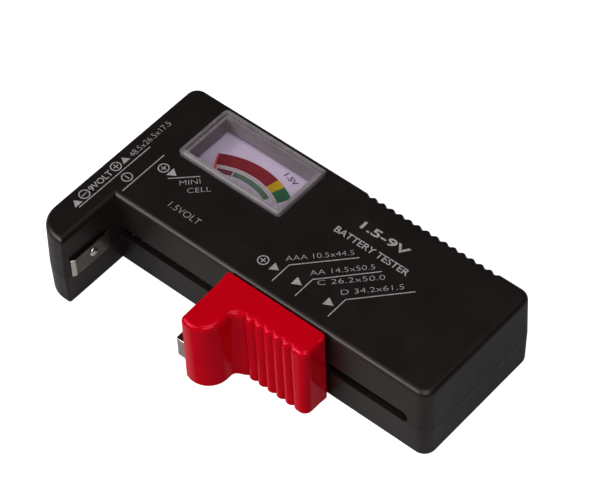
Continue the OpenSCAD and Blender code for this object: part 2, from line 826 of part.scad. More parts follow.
module black_wire() {
    across = 5.6;
    far_x = 50.5;
    color([0.15, 0.15, 0.15]) at_home() {
        wire([[arm_t - wall - 1.02, rivet_y, rivet_z], [across, rivet_y, rivet_z],
            [across, 12, rivet_z], [across, 12, under_z], [far_x, 12, under_z],
            [far_x, 12, terminal_z], [far_x, terminal_y[0], terminal_z],
            [terminal_x1 + 0.02, terminal_y[0], terminal_z]]);
        wire([[wall + 1.22, stud_y[0], stud_z], [across, stud_y[0], stud_z],
            [across, stud_y[0], rivet_z]]);
        wire([[far_x, 12, 8], [lead_x[0], 12, 8], [lead_x[0], res_y[0], 8],
            [lead_x[0], res_y[0], drop_z]]);
    }
}

module sense_wire() {
    color([0.2, 0.35, 0.7]) at_home() {
        wire([[terminal_x1 + 0.02, terminal_y[1], terminal_z], [lead_x[0], terminal_y[1], terminal_z],
            [lead_x[0], res_y[2], terminal_z], [lead_x[1], res_y[2], terminal_z],
            [lead_x[1], res_y[2], drop_z]]);
        wire([[lead_x[0], res_y[1], terminal_z], [lead_x[0], res_y[1], drop_z]]);
    }
}

module nine_volt_wire() {
    side_x = 7.2;
    color([0.85, 0.75, 0.1]) at_home()
        wire([[wall + 1.22, stud_y[1], stud_z], [side_x, stud_y[1], stud_z],
            [side_x, res_y[2], stud_z], [side_x, res_y[2], under_z], [50, res_y[2], under_z],
            [50, res_y[2], res_z], [lead_x[0] - 0.62, res_y[2], res_z]]);
}

top_cover();
bottom_cover();
case_screws();
arm_contact();
arm_rivet();
nine_volt_negative();
nine_volt_positive();
contact_rail();
rail_screws();
slider_knob();
slider_carriage();
slider_screws();
slider_contact();
slider_wiper();
meter_cover();
meter_frame();
meter_case();
dial_plate();
dial_screws();
magnet();
pole_pieces();
core();
core_bracket();
coil_former();
coil_winding();
pivot_shafts();
hairsprings();
pointer();
balance_weight();
top_bridge();
bottom_bridge();
bridge_screws();
jewel_screws();
spring_anchors();
stop_pins();
meter_terminals();
load_resistor();
series_resistor();
nine_volt_resistor();
resistor_leads();
red_wire();
black_wire();
sense_wire();
nine_volt_wire();
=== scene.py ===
import json
from math import cos, hypot, pi, radians, sin, sqrt, tan

import bmesh
import bpy
from mathutils import Matrix, Vector


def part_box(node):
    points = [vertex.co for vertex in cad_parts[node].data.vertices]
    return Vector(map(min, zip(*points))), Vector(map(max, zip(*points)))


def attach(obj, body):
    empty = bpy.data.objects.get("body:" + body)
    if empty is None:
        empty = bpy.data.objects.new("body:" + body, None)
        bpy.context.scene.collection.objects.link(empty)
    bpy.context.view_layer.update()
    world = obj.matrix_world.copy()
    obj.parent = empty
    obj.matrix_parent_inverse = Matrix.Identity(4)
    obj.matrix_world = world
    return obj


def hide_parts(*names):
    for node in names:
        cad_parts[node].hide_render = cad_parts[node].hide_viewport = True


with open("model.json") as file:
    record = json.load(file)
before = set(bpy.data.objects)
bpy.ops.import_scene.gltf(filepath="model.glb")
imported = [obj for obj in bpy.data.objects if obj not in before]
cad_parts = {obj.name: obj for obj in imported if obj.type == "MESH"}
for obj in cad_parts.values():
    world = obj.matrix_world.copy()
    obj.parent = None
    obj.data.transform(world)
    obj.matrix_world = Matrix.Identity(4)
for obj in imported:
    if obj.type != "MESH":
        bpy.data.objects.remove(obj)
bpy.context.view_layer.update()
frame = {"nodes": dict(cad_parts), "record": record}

# All shapes are built in millimetres from the front left of the case: X = 0 at the arm's
# outer face, Y = 0 at the front face of the body, Z = 0 on the table.
MM = 0.001
BACK_GAP = 0.15  # from the knob's back to the front face
ORIGIN = Vector((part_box("top_cover")[0][0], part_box("slider_knob")[1][1] + BACK_GAP * MM, 0))
TO_FRAME = Matrix.Translation(ORIGIN) @ Matrix.Scale(MM, 4)
ALONG_X, ALONG_Y = (1, 0, 0), (0, 1, 0)


def box_mm(node):
    """Lowest and highest corner of a CAD node, in mm."""
    return [TO_FRAME.inverted() @ Vector(corner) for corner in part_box(node)]


def middle_mm(node):
    lo, hi = box_mm(node)
    return (lo + hi) / 2


CASE_LO, CASE_HI = box_mm("top_cover")
LENGTH, DEPTH, HEIGHT = CASE_HI
ARM_OUT = -CASE_LO.y
PART_Z = CASE_LO.z
STRIP_PROUD = 1.0  # from the arm's inner face to the front of its strip
ARM_T = box_mm("arm_contact")[1].x - STRIP_PROUD
WALL = 1.6
DRAFT = radians(1.6)

# ---------------------------------------------------------------- mesh tools

WELD = 0.0015
SHARP_ANGLE = radians(32)


def new_object(name, verts, faces):
    """Object whose faces all look outwards."""
    mesh = bpy.data.meshes.new(name)
    mesh.from_pydata(verts, [], faces)
    bm = bmesh.new()
    bm.from_mesh(mesh)
    bmesh.ops.recalc_face_normals(bm, faces=bm.faces)
    bm.to_mesh(mesh)
    bm.free()
    return show(name, mesh)


def show(name, data):
    """Object with the given data, linked into the scene."""
    obj = bpy.data.objects.new(name, data)
    bpy.context.scene.collection.objects.link(obj)
    return obj


def evaluated_mesh(obj):
    return bpy.data.meshes.new_from_object(obj.evaluated_get(bpy.context.evaluated_depsgraph_get()))


def loft(name, rings):
    """Closed solid through rings of equal length, capped at both ends."""
    n = len(rings[0])
    faces = [tuple(reversed(range(n)))]
    for k in range(len(rings) - 1):
        a, b = k * n, k * n + n
        faces += [(a + i, a + (i + 1) % n, b + (i + 1) % n, b + i) for i in range(n)]
    faces.append(tuple(range(len(rings) * n - n, len(rings) * n)))
    return new_object(name, [p for ring in rings for p in ring], faces)


def arc(x, y, r, start, end, steps):
    """Points of an arc round (x, y), from one angle to another in degrees."""
    angles = [radians(start + (end - start) * i / steps) for i in range(steps + 1)]
    return [(x + r * cos(a), y + r * sin(a)) for a in angles]


def rounded_rect(lo, hi, r):
    """Counter-clockwise outline of a rectangle with rounded corners."""
    corners = [(lo[0] + r, lo[1] + r, 180), (hi[0] - r, lo[1] + r, 270),
               (hi[0] - r, hi[1] - r, 0), (lo[0] + r, hi[1] - r, 90)]
    return [p for x, y, start in corners for p in arc(x, y, r, start, start + 90, 5)]


def edge_normal(a, b):
    """Outward normal of the edge from a to b of a counter-clockwise outline."""
    length = hypot(b[0] - a[0], b[1] - a[1]) or 1
    return Vector(((b[1] - a[1]) / length, (a[0] - b[0]) / length))


def corner_normals(outline):
    """Outward direction at each point, long enough to keep both edges parallel."""
    n = len(outline)
    result = []
    for i, p in enumerate(outline):
        a = edge_normal(outline[i - 1], p)
        b = edge_normal(p, outline[(i + 1) % n])
        result.append((a + b) / max(1 + a.dot(b), 0.3))
    return result


def inset(outline, e):
    return [(p[0] - e * m.x, p[1] - e * m.y) for p, m in zip(outline, corner_normals(outline))]


def prism(name, outline, profile, place=None):
    """Solid over a flat outline; profile lists (height, inset). place turns it into position."""
    area = sum(p[0] * q[1] - q[0] * p[1] for p, q in zip(outline, outline[1:] + outline[:1]))
    outline = outline if area > 0 else outline[::-1]
    obj = loft(name, [[(x, y, z) for x, y in inset(outline, e)] for z, e in profile])
    if place:
        obj.data.transform(place)
    return obj


def rounded_box(name, lo, hi, r, profile):
    """Solid with rounded upright edges; profile lists (height, inset)."""
    smallest = 0.15
    rings = []
    for z, e in profile:
        outline = rounded_rect((lo[0] + e, lo[1] + e), (hi[0] - e, hi[1] - e), max(r - e, smallest))
        rings.append([(x, y, z) for x, y in outline])
    return loft(name, rings)


def revolve(name, profile, place=None):
    """Solid of revolution about Z; profile lists (height, radius)."""
    steps = 40
    angles = [2 * pi * i / steps for i in range(steps)]
    obj = loft(name, [[(r * cos(a), r * sin(a), z) for a in angles] for z, r in profile])
    if place:
        obj.data.transform(place)
    return obj


def block(name, lo, hi):
    """Plain box between two corners."""
    lo, hi = Vector(lo), Vector(hi)
    outline = [(lo.x, lo.y), (hi.x, lo.y), (hi.x, hi.y), (lo.x, hi.y)]
    return prism(name, outline, [(lo.z, 0), (hi.z, 0)])


def turned(axis, at):
    """Matrix that points a shape's Z along the given axis and moves it to a point."""
    return Matrix.Translation(at) @ Vector(axis).to_track_quat("Z", "Y").to_matrix().to_4x4()


def ribbon(points, width, bend=0.0):
    """Outline of a path with a width, its corners rounded to the bend radius of the middle line."""
    steps = 5
    path = [Vector(points[0])]
    for a, b, c in zip(points, points[1:], points[2:]):
        a, b, c = Vector(a), Vector(b), Vector(c)
        u, v = (a - b).normalized(), (c - b).normalized()
        if bend:
            reach = bend / tan(u.angle(v) / 2)
            middle = b + (u + v).normalized() * hypot(bend, reach)
            start, stop = b + u * reach - middle, b + v * reach - middle
            sweep = start.angle_signed(stop)
            path += [middle + Matrix.Rotation(-sweep * i / steps, 2) @ start for i in range(steps + 1)]
        else:
            path.append(b)
    path.append(Vector(points[-1]))
    left, right = [], []
    for i, p in enumerate(path):
        before = edge_normal(path[i - 1], p) if i else edge_normal(p, path[1])
        after = edge_normal(p, path[i + 1]) if i < len(path) - 1 else before
        m = (before + after) / (1 + before.dot(after)) * (width / 2)
        left.append((p.x - m.x, p.y - m.y))
        right.append((p.x + m.x, p.y + m.y))
    return right + left[::-1]


def chamfered(lo, hi, edge=0.06):
    """Profile of a flat part between two heights, with small chamfers."""
    return [(lo, edge), (lo + edge, 0), (hi - edge, 0), (hi, edge)]


def combine(obj, tool, operation="DIFFERENCE"):
    """Applies an exact boolean of obj with a tool, which is used up."""
    step = obj.modifiers.new("step", "BOOLEAN")
    step.object, step.operation, step.solver = tool, operation, "EXACT"
    result = evaluated_mesh(obj)
    obj.modifiers.clear()
    obj.data = result
    bpy.data.objects.remove(tool, do_unlink=True)
    return obj


def join(name, objects):
    """One object from many, whose parts stay separate shells."""
    bm = bmesh.new()
    for obj in objects:
        bm.from_mesh(obj.data)
        bpy.data.objects.remove(obj, do_unlink=True)
    mesh = bpy.data.meshes.new(name)
    bm.to_mesh(mesh)
    bm.free()
    return show(name, mesh)


def posts(profile, spots):
    """The same upright turned shape at each of some (x, y) spots."""
    return [revolve("post", profile, Matrix.Translation((x, y, 0))) for x, y in spots]


def piece(obj, name, body, material, replaced=()):
    """Finishes a shape: clean mesh, smooth shading, frame units, material and body."""
    bm = bmesh.new()
    bm.from_mesh(obj.data)
    bmesh.ops.remove_doubles(bm, verts=bm.verts, dist=WELD)
    bmesh.ops.dissolve_degenerate(bm, edges=bm.edges, dist=WELD)
    bmesh.ops.recalc_face_normals(bm, faces=bm.faces)
    bm.to_mesh(obj.data)
    bm.free()
    obj.name = obj.data.name = name
    obj.data.shade_smooth()
    obj.data.set_sharp_from_angle(angle=SHARP_ANGLE)
    obj.data.transform(TO_FRAME)
    obj.data.materials.clear()
    obj.data.materials.append(material)
    normals = obj.modifiers.new("normals", "WEIGHTED_NORMAL")
    normals.keep_sharp = True
    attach(obj, body)
    if replaced:
        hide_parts(*replaced)


# ---------------------------------------------------------------- material tools


def node_tree(name):
    """Material with an empty node tree, and the tree's output node."""
    material = bpy.data.materials.new(name)
    material.use_nodes = True
    tree = material.node_tree
    tree.nodes.clear()
    return material, tree, tree.nodes.new("ShaderNodeOutputMaterial")


def noise(tree, size_mm, detail=2.0, stretch=(1, 1, 1), roughness=0.5):
    """Noise whose features are about size_mm across; its value runs round 0.5."""
    coords = tree.nodes.new("ShaderNodeTexCoord")
    mapping = tree.nodes.new("ShaderNodeMapping")
    mapping.inputs["Scale"].default_value = stretch
    texture = tree.nodes.new("ShaderNodeTexNoise")
    texture.inputs["Scale"].default_value = 1 / (size_mm * MM)
    texture.inputs["Detail"].default_value = detail
    texture.inputs["Roughness"].default_value = roughness
    tree.links.new(coords.outputs["Object"], mapping.inputs["Vector"])
    tree.links.new(mapping.outputs["Vector"], texture.inputs["Vector"])
    return texture.outputs["Fac"]


def ramp(tree, value, low, high, at=(0.35, 0.65)):
    """Colour that runs from low to high as value crosses the given span."""
    node = tree.nodes.new("ShaderNodeValToRGB")
    for stop, place, colour in zip(node.color_ramp.elements, at, (low, high)):
        stop.position = place
        stop.color = (*colour, 1)
    tree.links.new(value, node.inputs["Fac"])
    return node.outputs["Color"]


def spread(tree, value, low, high):
    """Number that runs from low to high as a noise value goes from 0.3 to 0.7."""
    node = tree.nodes.new("ShaderNodeMapRange")
    node.inputs["From Min"].default_value, node.inputs["From Max"].default_value = 0.3, 0.7
    node.inputs["To Min"].default_value, node.inputs["To Max"].default_value = low, high
    tree.links.new(value, node.inputs["Value"])
    return node.outputs["Result"]


def bump(tree, height, depth_mm):
    node = tree.nodes.new("ShaderNodeBump")
    node.inputs["Distance"].default_value = depth_mm * MM
    tree.links.new(height, node.inputs["Height"])
    return node.outputs["Normal"]


def blended(tree, share, first, second):
    """Shader that runs from the first to the second as share goes from 0 to 1."""
    node = tree.nodes.new("ShaderNodeMixShader")
    tree.links.new(share, node.inputs["Fac"])
    tree.links.new(first, node.inputs[1])
    tree.links.new(second, node.inputs[2])
    return node.outputs["Shader"]


def added(tree, first, second):
    node = tree.nodes.new("ShaderNodeAddShader")
    tree.links.new(first, node.inputs[0])
    tree.links.new(second, node.inputs[1])
    return node.outputs["Shader"]


def ray_is(tree, kind):
    """1 for rays of a kind, such as Camera or Shadow, and 0 for the others."""
    return tree.nodes.new("ShaderNodeLightPath").outputs[f"Is {kind} Ray"]


# ---------------------------------------------------------------- finishes


def surface(name, colour, rough, metal=0.0, specular=0.5, tint=0.08, patch=6.0, grain=0.15,
            depth=0.003, stretch=(1, 1, 1), wear=0.06, sheen=(1, 1, 1)):
    """Solid finish with colour variation, uneven gloss and a fine surface grain."""
    material, tree, out = node_tree(name)
    shader = tree.nodes.new("ShaderNodeBsdfPrincipled")
    shader.inputs["Metallic"].default_value = metal
    shader.inputs["Specular IOR Level"].default_value = specular
    shader.inputs["Specular Tint"].default_value = (*sheen, 1)
    low = [c * (1 - tint) for c in colour]
    high = [min(c * (1 + tint), 1) for c in colour]
    tree.links.new(ramp(tree, noise(tree, patch, 4.0), low, high), shader.inputs["Base Color"])
    gloss = spread(tree, noise(tree, patch * 0.6, 5.0, stretch, 0.65), rough - wear, rough + wear)
    tree.links.new(gloss, shader.inputs["Roughness"])
    tree.links.new(bump(tree, noise(tree, grain, 3.0, stretch), depth), shader.inputs["Normal"])
    tree.links.new(shader.outputs["BSDF"], out.inputs["Surface"])
    return material


def glossy_red():
    """Red moulded plastic whose gloss is faint and red from the front and pale at a glancing angle."""
    material, tree, out = node_tree("slider_plastic_look")
    diffuse = tree.nodes.new("ShaderNodeBsdfDiffuse")
    gloss = tree.nodes.new("ShaderNodeBsdfGlossy")
    body = ramp(tree, noise(tree, 9, 4.0), (0.4, 0.0, 0.005), (0.44, 0.0003, 0.0062))
    tree.links.new(body, diffuse.inputs["Color"])
    facing = tree.nodes.new("ShaderNodeLayerWeight")
    facing.inputs["Blend"].default_value = 0.5
    glance = ramp(tree, facing.outputs["Facing"], (0.035, 0.006, 0.011), (0.42, 0.28, 0.3), (0.5, 1.0))
    tree.links.new(glance, gloss.inputs["Color"])
    tree.links.new(spread(tree, noise(tree, 5, 5.0), 0.13, 0.19), gloss.inputs["Roughness"])
    normal = bump(tree, noise(tree, 0.35, 3.0), 0.003)
    for shader in (diffuse, gloss):
        tree.links.new(normal, shader.inputs["Normal"])
    both = added(tree, diffuse.outputs["BSDF"], gloss.outputs["BSDF"])
    tree.links.new(both, out.inputs["Surface"])
    return material


def outer_fresnel(tree, ior):
    """Share of light that the outside mirrors; the inside of the plastic mirrors none."""
    fresnel = tree.nodes.new("ShaderNodeFresnel")
    fresnel.inputs["IOR"].default_value = ior
    geometry = tree.nodes.new("ShaderNodeNewGeometry")
    outer = tree.nodes.new("ShaderNodeMath")
    outer.operation = "SUBTRACT"
    outer.use_clamp = True
    tree.links.new(fresnel.outputs["Fac"], outer.inputs[0])
    tree.links.new(geometry.outputs["Backfacing"], outer.inputs[1])
    return outer.outputs["Value"]


def clear_plastic(name, cloud, rough, ior):
    """Clear plastic that casts hardly any shadow; cloud is the share of its grey, scattering part."""
    material, tree, out = node_tree(name)
    through = tree.nodes.new("ShaderNodeBsdfTransparent")
    through.inputs["Color"].default_value = (0.985, 0.97, 0.985, 1)
    grey = tree.nodes.new("ShaderNodeBsdfDiffuse")
    haze = ramp(tree, noise(tree, 2.5, 4.0), (0.27, 0.25, 0.26), (0.35, 0.32, 0.335))
    tree.links.new(haze, grey.inputs["Color"])
    clouded = spread(tree, noise(tree, 1.2, 3.0), cloud * 0.85, cloud * 1.15)
    body = blended(tree, clouded, through.outputs["BSDF"], grey.outputs["BSDF"])
    gloss = tree.nodes.new("ShaderNodeBsdfGlossy")
    uneven = spread(tree, noise(tree, 1.5, 6.0, (1, 3, 1), 0.7), rough * 0.8, rough * 1.2)
    tree.links.new(uneven, gloss.inputs["Roughness"])
    shine = blended(tree, outer_fresnel(tree, ior), body, gloss.outputs["BSDF"])
    lit = blended(tree, ray_is(tree, "Shadow"), shine, through.outputs["BSDF"])
    tree.links.new(lit, out.inputs["Surface"])
    return material


def strip_metal():
    """Nickel strip with painted light: faces that look to the front, such as the bent end, get a bright
    painted reflection, and the flat face gets a dark painted shade.
    """
    material, tree, out = node_tree("strip_metal_look")
    shader = tree.nodes.new("ShaderNodeBsdfPrincipled")
    shader.inputs["Metallic"].default_value = 1
    coords = tree.nodes.new("ShaderNodeTexCoord")
    parts = tree.nodes.new("ShaderNodeSeparateXYZ")
    tree.links.new(coords.outputs["Normal"], parts.inputs["Vector"])
    bent = tree.nodes.new("ShaderNodeMath")
    bent.operation = "ABSOLUTE"
    tree.links.new(parts.outputs["Y"], bent.inputs[0])
    # Painted light: share of the bright colour, rising as a face turns to the front.
    painted_light_share = ramp(tree, bent.outputs["Value"], (0, 0, 0), (1, 1, 1), (0.1, 0.35))
    patches = noise(tree, 2.5, 4.0)
    colour = tree.nodes.new("ShaderNodeMix")
    colour.data_type = "RGBA"
    tree.links.new(painted_light_share, colour.inputs["Factor"])
    # Dark painted shade for the flat face and bright painted reflection for faces towards the front, each
    # with random patches.
    tree.links.new(ramp(tree, patches, (0.13, 0.11, 0.092), (0.19, 0.162, 0.138)), colour.inputs["A"])
    tree.links.new(ramp(tree, patches, (0.6, 0.55, 0.47), (0.72, 0.67, 0.58)), colour.inputs["B"])
    tree.links.new(colour.outputs["Result"], shader.inputs["Base Color"])
    brushed = noise(tree, 0.3, 4.0, (0.2, 0.2, 3))
    tree.links.new(spread(tree, brushed, 0.2, 0.3), shader.inputs["Roughness"])
    tree.links.new(bump(tree, brushed, 0.001), shader.inputs["Normal"])
    tree.links.new(shader.outputs["BSDF"], out.inputs["Surface"])
    return material


def wound_wire():
    """Enamelled copper wire in close turns."""
    material, tree, out = node_tree("copper_wire_look")
    shader = tree.nodes.new("ShaderNodeBsdfPrincipled")
    shader.inputs["Metallic"].default_value = 0.8
    shader.inputs["Roughness"].default_value = 0.35
    copper = ramp(tree, noise(tree, 1.5), (0.42, 0.13, 0.04), (0.6, 0.22, 0.08))
    tree.links.new(copper, shader.inputs["Base Color"])
    coords = tree.nodes.new("ShaderNodeTexCoord")
    wave = tree.nodes.new("ShaderNodeTexWave")
    wave.bands_direction = "Z"
    wave.inputs["Scale"].default_value = 2500
    tree.links.new(coords.outputs["Object"], wave.inputs["Vector"])
    tree.links.new(bump(tree, wave.outputs["Fac"], 0.03), shader.inputs["Normal"])
    tree.links.new(shader.outputs["BSDF"], out.inputs["Surface"])
    return material


def metal(name, colour, rough, **grain):
    return surface(f"{name}_look", colour, rough, metal=1, **grain)


def ceramic(name, colour):
    return surface(f"resistor_{name}_look", colour, 0.45, tint=0.15, patch=1.5, grain=0.2, depth=0.02)


def vinyl(name, colour, tint=0.1):
    return surface(f"{name}_insulation_look", colour, 0.4, tint=tint, patch=3, grain=0.3)


def dial_paint(name, colour, tint=0.1, patch=1):
    return surface(f"dial_{name}_look", colour, 0.5, tint=tint, patch=patch, grain=0.1, depth=0.002)


BLACK = surface("case_plastic_look", (0.0062, 0.0046, 0.0041), 0.385, specular=0.37, tint=0.12,
                patch=14, grain=0.18, depth=0.0035, wear=0.05, sheen=(1, 0.85, 0.83))
RED = glossy_red()
STRIP = strip_metal()
NICKEL = metal("contact_metal", (0.5, 0.45, 0.39), 0.2, tint=0.15, patch=2.5, grain=0.12,
               depth=0.002, stretch=(0.2, 0.2, 3), wear=0.05)
POLISHED = metal("rivet_metal", (0.72, 0.7, 0.67), 0.14, tint=0.1, patch=0.8, grain=0.1,
                 depth=0.001, wear=0.04)
STEEL = metal("screw_metal", (0.55, 0.54, 0.52), 0.3, tint=0.15, patch=1.2, grain=0.1, depth=0.004)
CLEAR = clear_plastic("clear_plastic_look", 0.0, 0.08, 1.3)
CLEAR_EDGE = clear_plastic("clear_edge_look", 0.3, 0.42, 1.15)
GREY = surface("grey_plastic_look", (0.14, 0.122, 0.126), 0.38, specular=0.4, tint=0.1, patch=5,
               grain=0.2, depth=0.004)
METER = surface("meter_plastic_look", (0.5, 0.5, 0.48), 0.4, tint=0.06, patch=8, grain=0.25,
                depth=0.004)
ENAMEL = surface("dial_enamel_look", (0.44, 0.38, 0.48), 0.5, tint=0.035, patch=5, grain=0.12,
                 depth=0.002)
NEEDLE = surface("pointer_paint_look", (0.5, 0.05, 0.035), 0.4, tint=0.08, patch=1.5, grain=0.1,
                 depth=0.002)
BRASS = metal("brass", (0.62, 0.42, 0.16), 0.3, tint=0.15, patch=2, grain=0.12, depth=0.004)
IRON = metal("soft_iron", (0.16, 0.16, 0.17), 0.45, tint=0.2, patch=2, grain=0.15, depth=0.006)
MAGNET = surface("magnet_alloy_look", (0.09, 0.09, 0.1), 0.5, metal=0.7, tint=0.2, patch=2.5,
                 grain=0.2, depth=0.01)
ALUMINIUM = metal("aluminium", (0.7, 0.7, 0.72), 0.28, tint=0.08, patch=1.5, grain=0.1, depth=0.003)
COPPER = wound_wire()
SPRING = metal("spring_bronze", (0.6, 0.32, 0.12), 0.3, tint=0.12, patch=1, grain=0.1, depth=0.002)
CERAMIC_BLUE = ceramic("blue", (0.2, 0.42, 0.6))
CERAMIC_TAN = ceramic("tan", (0.58, 0.42, 0.22))
TINNED = metal("tinned_lead", (0.6, 0.6, 0.6), 0.35, tint=0.2, patch=0.8, grain=0.1, depth=0.01)
VINYL_RED = vinyl("red", (0.55, 0.02, 0.02))
VINYL_BLACK = vinyl("black", (0.02, 0.02, 0.02), 0.2)
VINYL_BLUE = vinyl("blue", (0.03, 0.09, 0.4))
VINYL_YELLOW = vinyl("yellow", (0.7, 0.5, 0.02))
INK = surface("white_ink_look", (0.27, 0.262, 0.258), 0.6, specular=0.2, tint=0.22, patch=0.5,
              grain=0.1, depth=0.004)
DIAL_RED = dial_paint("red", (0.16, 0.0075, 0.0135), patch=2)
DIAL_YELLOW = dial_paint("yellow", (0.37, 0.245, 0.0035), 0.08, 2)
DIAL_GREEN = dial_paint("green", (0.016, 0.09, 0.035), 0.12, 2)
DIAL_PALE_RED = dial_paint("dull_red", (0.13, 0.025, 0.035))
DIAL_PALE_GREEN = dial_paint("dull_green", (0.08, 0.145, 0.09))
DIAL_CREAM = dial_paint("cream", (0.36, 0.33, 0.29), 0.05)
DIAL_INK = dial_paint("ink", (0.04, 0.03, 0.1))

# ---------------------------------------------------------------- case

GROOVES, GROOVE_PITCH, GROOVE_X, GROOVE_DEPTH = 15, 2.74, 58.2, 0.5
ARM_R, ARM_TIP_R, BODY_R, CREASE = 7.9, 1.0, 3.6, 0.02
TOP_ROUND, BOTTOM_ROUND = 1.5, 0.6
SEAM, SEAM_DEPTH, SEAM_EDGE = 0.06, 0.3, 0.02  # parting line: half its width, depth, edge's inset
SLOT_Z, SLOT_X1 = (9.7, 12.9), 102.1
SCREW_SPOTS = [(6.2, 33.8), (5.2, -13.9), (101.2, 33.8), (99.5, 12.5)]
TOP_POST_R, PILOT_R, PILOT_TOP = 2.6, 1.1, 17
POST_R, POST_FOOT = 3, 1.1  # posts start inside the floor, so that they join it
RAIL_POSTS_X, RAIL_POST_Y, RAIL_POST_TOP = (10.3, 103.9), (4.72, 9.5), 9
METER_POSTS_X, METER_POSTS_Y = (18, 40), (6, 30)
CRADLE_X, CRADLE_Y = (57.5, 62.5), (11, 29)
SCREW_WELL = [(-1, 3), (0, 2.75), (0.25, 2.5), (2.4, 2.5), (2.4, 1.5), (12, 1.5)]  # height, radius
STUD_SEAT = [(-1, 3.2), (0.1, 2.75), (0.4, 2.6), (0.4, 1.05), (WALL + 1, 1.05)]  # depth, radius
STRIP_HOLE_Z, RIVET_HOLE_R = (10.5, 14.7), 0.8


def lean(z):
    """How far the case's sides have drawn in at a height, from draft on both shells."""
    return abs(z - PART_Z) * tan(DRAFT)


def corner(x, y, side, r, start, e, steps):
    """Round corner of an outline that is inset by e; side points into the outline."""
    r = max(r - e, 0.05)
    return arc(x + side[0] * (e + r), y + side[1] * (e + r), r, start, start + 90, steps)


def case_outline(e, groove):
    """Outline of body and arm, inset by e, with finger grooves of a given depth at the back."""
    steps = 10
    grooves = []
    for i in range(GROOVES * steps, -1, -1):
        phase = cos(2 * pi * i / steps) / 2 - 0.5
        grooves.append((GROOVE_X + (i / steps - 0.5) * GROOVE_PITCH, DEPTH - e + groove * phase))
    return (corner(0, -ARM_OUT, (1, 1), ARM_R, 180, e, 14)
            + corner(ARM_T, -ARM_OUT, (-1, 1), ARM_TIP_R, 270, e, 5)
            + [(ARM_T - e, e - CREASE), (ARM_T - e + CREASE, e)]
            + corner(LENGTH, 0, (-1, 1), BODY_R, 270, e, 12)
            + corner(LENGTH, DEPTH, (-1, -1), BODY_R, 0, e, 12)
            + grooves
            + corner(0, DEPTH, (1, -1), BODY_R, 90, e, 12))


def case_shell(name, profile):
    """Shell from rings given as (height, inset, groove depth)."""
    return loft(name, [[(x, y, z) for x, y in case_outline(e, groove)] for z, e, groove in profile])


def case_wall(side):
    """Profile from inside the wall to the parting line; side is 1 for the top, -1 for the bottom."""
    edge = PART_Z + side * SEAM
    return [(PART_Z, WALL, 0), (PART_Z, SEAM_DEPTH, GROOVE_DEPTH), (edge, SEAM_DEPTH, GROOVE_DEPTH),
            (edge, SEAM_EDGE, GROOVE_DEPTH)]


def slot_tool():
    """Cutter for the long slot, from the arm to its round right end."""
    low, high = SLOT_Z
    r = (high - low) / 2
    start = ARM_T + 0.1
    outline = [(start, low)] + arc(SLOT_X1 - r, low + r, r, -90, 90, 14) + [(start, high)]
    stand = Matrix.Rotation(pi / 2, 4, "X")
    return prism("slot_tool", outline, [(-WALL - 1, 0), (1, 0)], stand)


def socket_tool():
    """Seats and shank holes of the two studs in the left end face."""
    sockets = []
    for node in ("nine_volt_negative", "nine_volt_positive"):
        middle = middle_mm(node)
        sockets.append(revolve("socket", STUD_SEAT, turned(ALONG_X, (0, middle.y, middle.z))))
    return join("tool", sockets)


def build_case_top():
    """Upper shell: a lofted wall, screw posts, window opening, slot, and seats for the contacts."""
    shoulder, ceiling, inner_round, groove_growth = HEIGHT - TOP_ROUND, HEIGHT - WALL, 0.6, 0.3
    profile = [(ceiling, WALL + lean(ceiling) + inner_round, 0),
               (ceiling - inner_round, WALL + lean(ceiling), 0)] + case_wall(1)
    for i in range(9):
        a = pi / 2 * i / 8
        profile.append((shoulder + TOP_ROUND * sin(a), lean(shoulder) + TOP_ROUND * (1 - cos(a)),
                        GROOVE_DEPTH + groove_growth * sin(a)))
    top = case_shell("case_top", profile)
    post = [(PART_Z, TOP_POST_R), (ceiling + 0.5, TOP_POST_R)]
    pilot = [(PART_Z - 1, PILOT_R), (PILOT_TOP, PILOT_R)]
    combine(top, join("tool", posts(post, SCREW_SPOTS)), "UNION")
    combine(top, join("tool", posts(pilot, SCREW_SPOTS)))
    lo, hi = box_mm("meter_cover")
    gap = 0.15
    window = rounded_rect((lo.x - gap, lo.y - gap), (hi.x + gap, hi.y + gap), 0.9)
    combine(top, prism("tool", window, [(ceiling - 1, 0), (HEIGHT - 0.2, 0), (HEIGHT + 0.1, -0.3)]))
    combine(top, slot_tool())
    combine(top, socket_tool())
    front = box_mm("arm_contact")[0].y
    low, high = STRIP_HOLE_Z
    combine(top, block("tool", (ARM_T / 2 + 2, front - 0.1, low), (ARM_T + 1, front + 0.6, high)))
    rivet = middle_mm("arm_rivet")
    combine(top, revolve("tool", [(0, RIVET_HOLE_R), (ARM_T / 2 + 1, RIVET_HOLE_R)],
                         turned(ALONG_X, (ARM_T / 2, rivet.y, rivet.z))))
    piece(top, "case_top", "case", BLACK, ["top_cover"])


def build_case_bottom():
    """Lower shell with posts for screws, rail and meter, a resistor cradle and screw wells."""
    profile = [(WALL, WALL + lean(WALL), 0)] + case_wall(-1)
    for i in range(6):
        a = pi / 2 * i / 5
        profile.append((BOTTOM_ROUND * (1 - sin(a)), lean(BOTTOM_ROUND) + BOTTOM_ROUND * (1 - cos(a)),
                        GROOVE_DEPTH))
    bottom = case_shell("case_bottom", profile)
    stands = posts([(POST_FOOT, POST_R), (PART_Z, POST_R)], SCREW_SPOTS)
    near, far = RAIL_POST_Y
    stands += [block("rail_post", (x - 1.8, near, POST_FOOT), (x + 1.8, far, RAIL_POST_TOP))
               for x in RAIL_POSTS_X]
    meter_z = box_mm("meter_case")[0].z
    stands += [block("meter_post", (x - 0.6, y, POST_FOOT), (x + 0.6, y + 4, meter_z))
               for x in METER_POSTS_X for y in METER_POSTS_Y]
    near, far = CRADLE_Y
    cradle_z = box_mm("load_resistor")[0].z
    stands += [block("cradle", (x - 0.5, near, POST_FOOT), (x + 0.5, far, cradle_z)) for x in CRADLE_X]
    combine(bottom, join("tool", stands), "UNION")
    combine(bottom, join("tool", posts(SCREW_WELL, SCREW_SPOTS)))
    combine(bottom, slot_tool())
    piece(bottom, "case_bottom", "case", BLACK, ["bottom_cover"])


# ---------------------------------------------------------------- slider

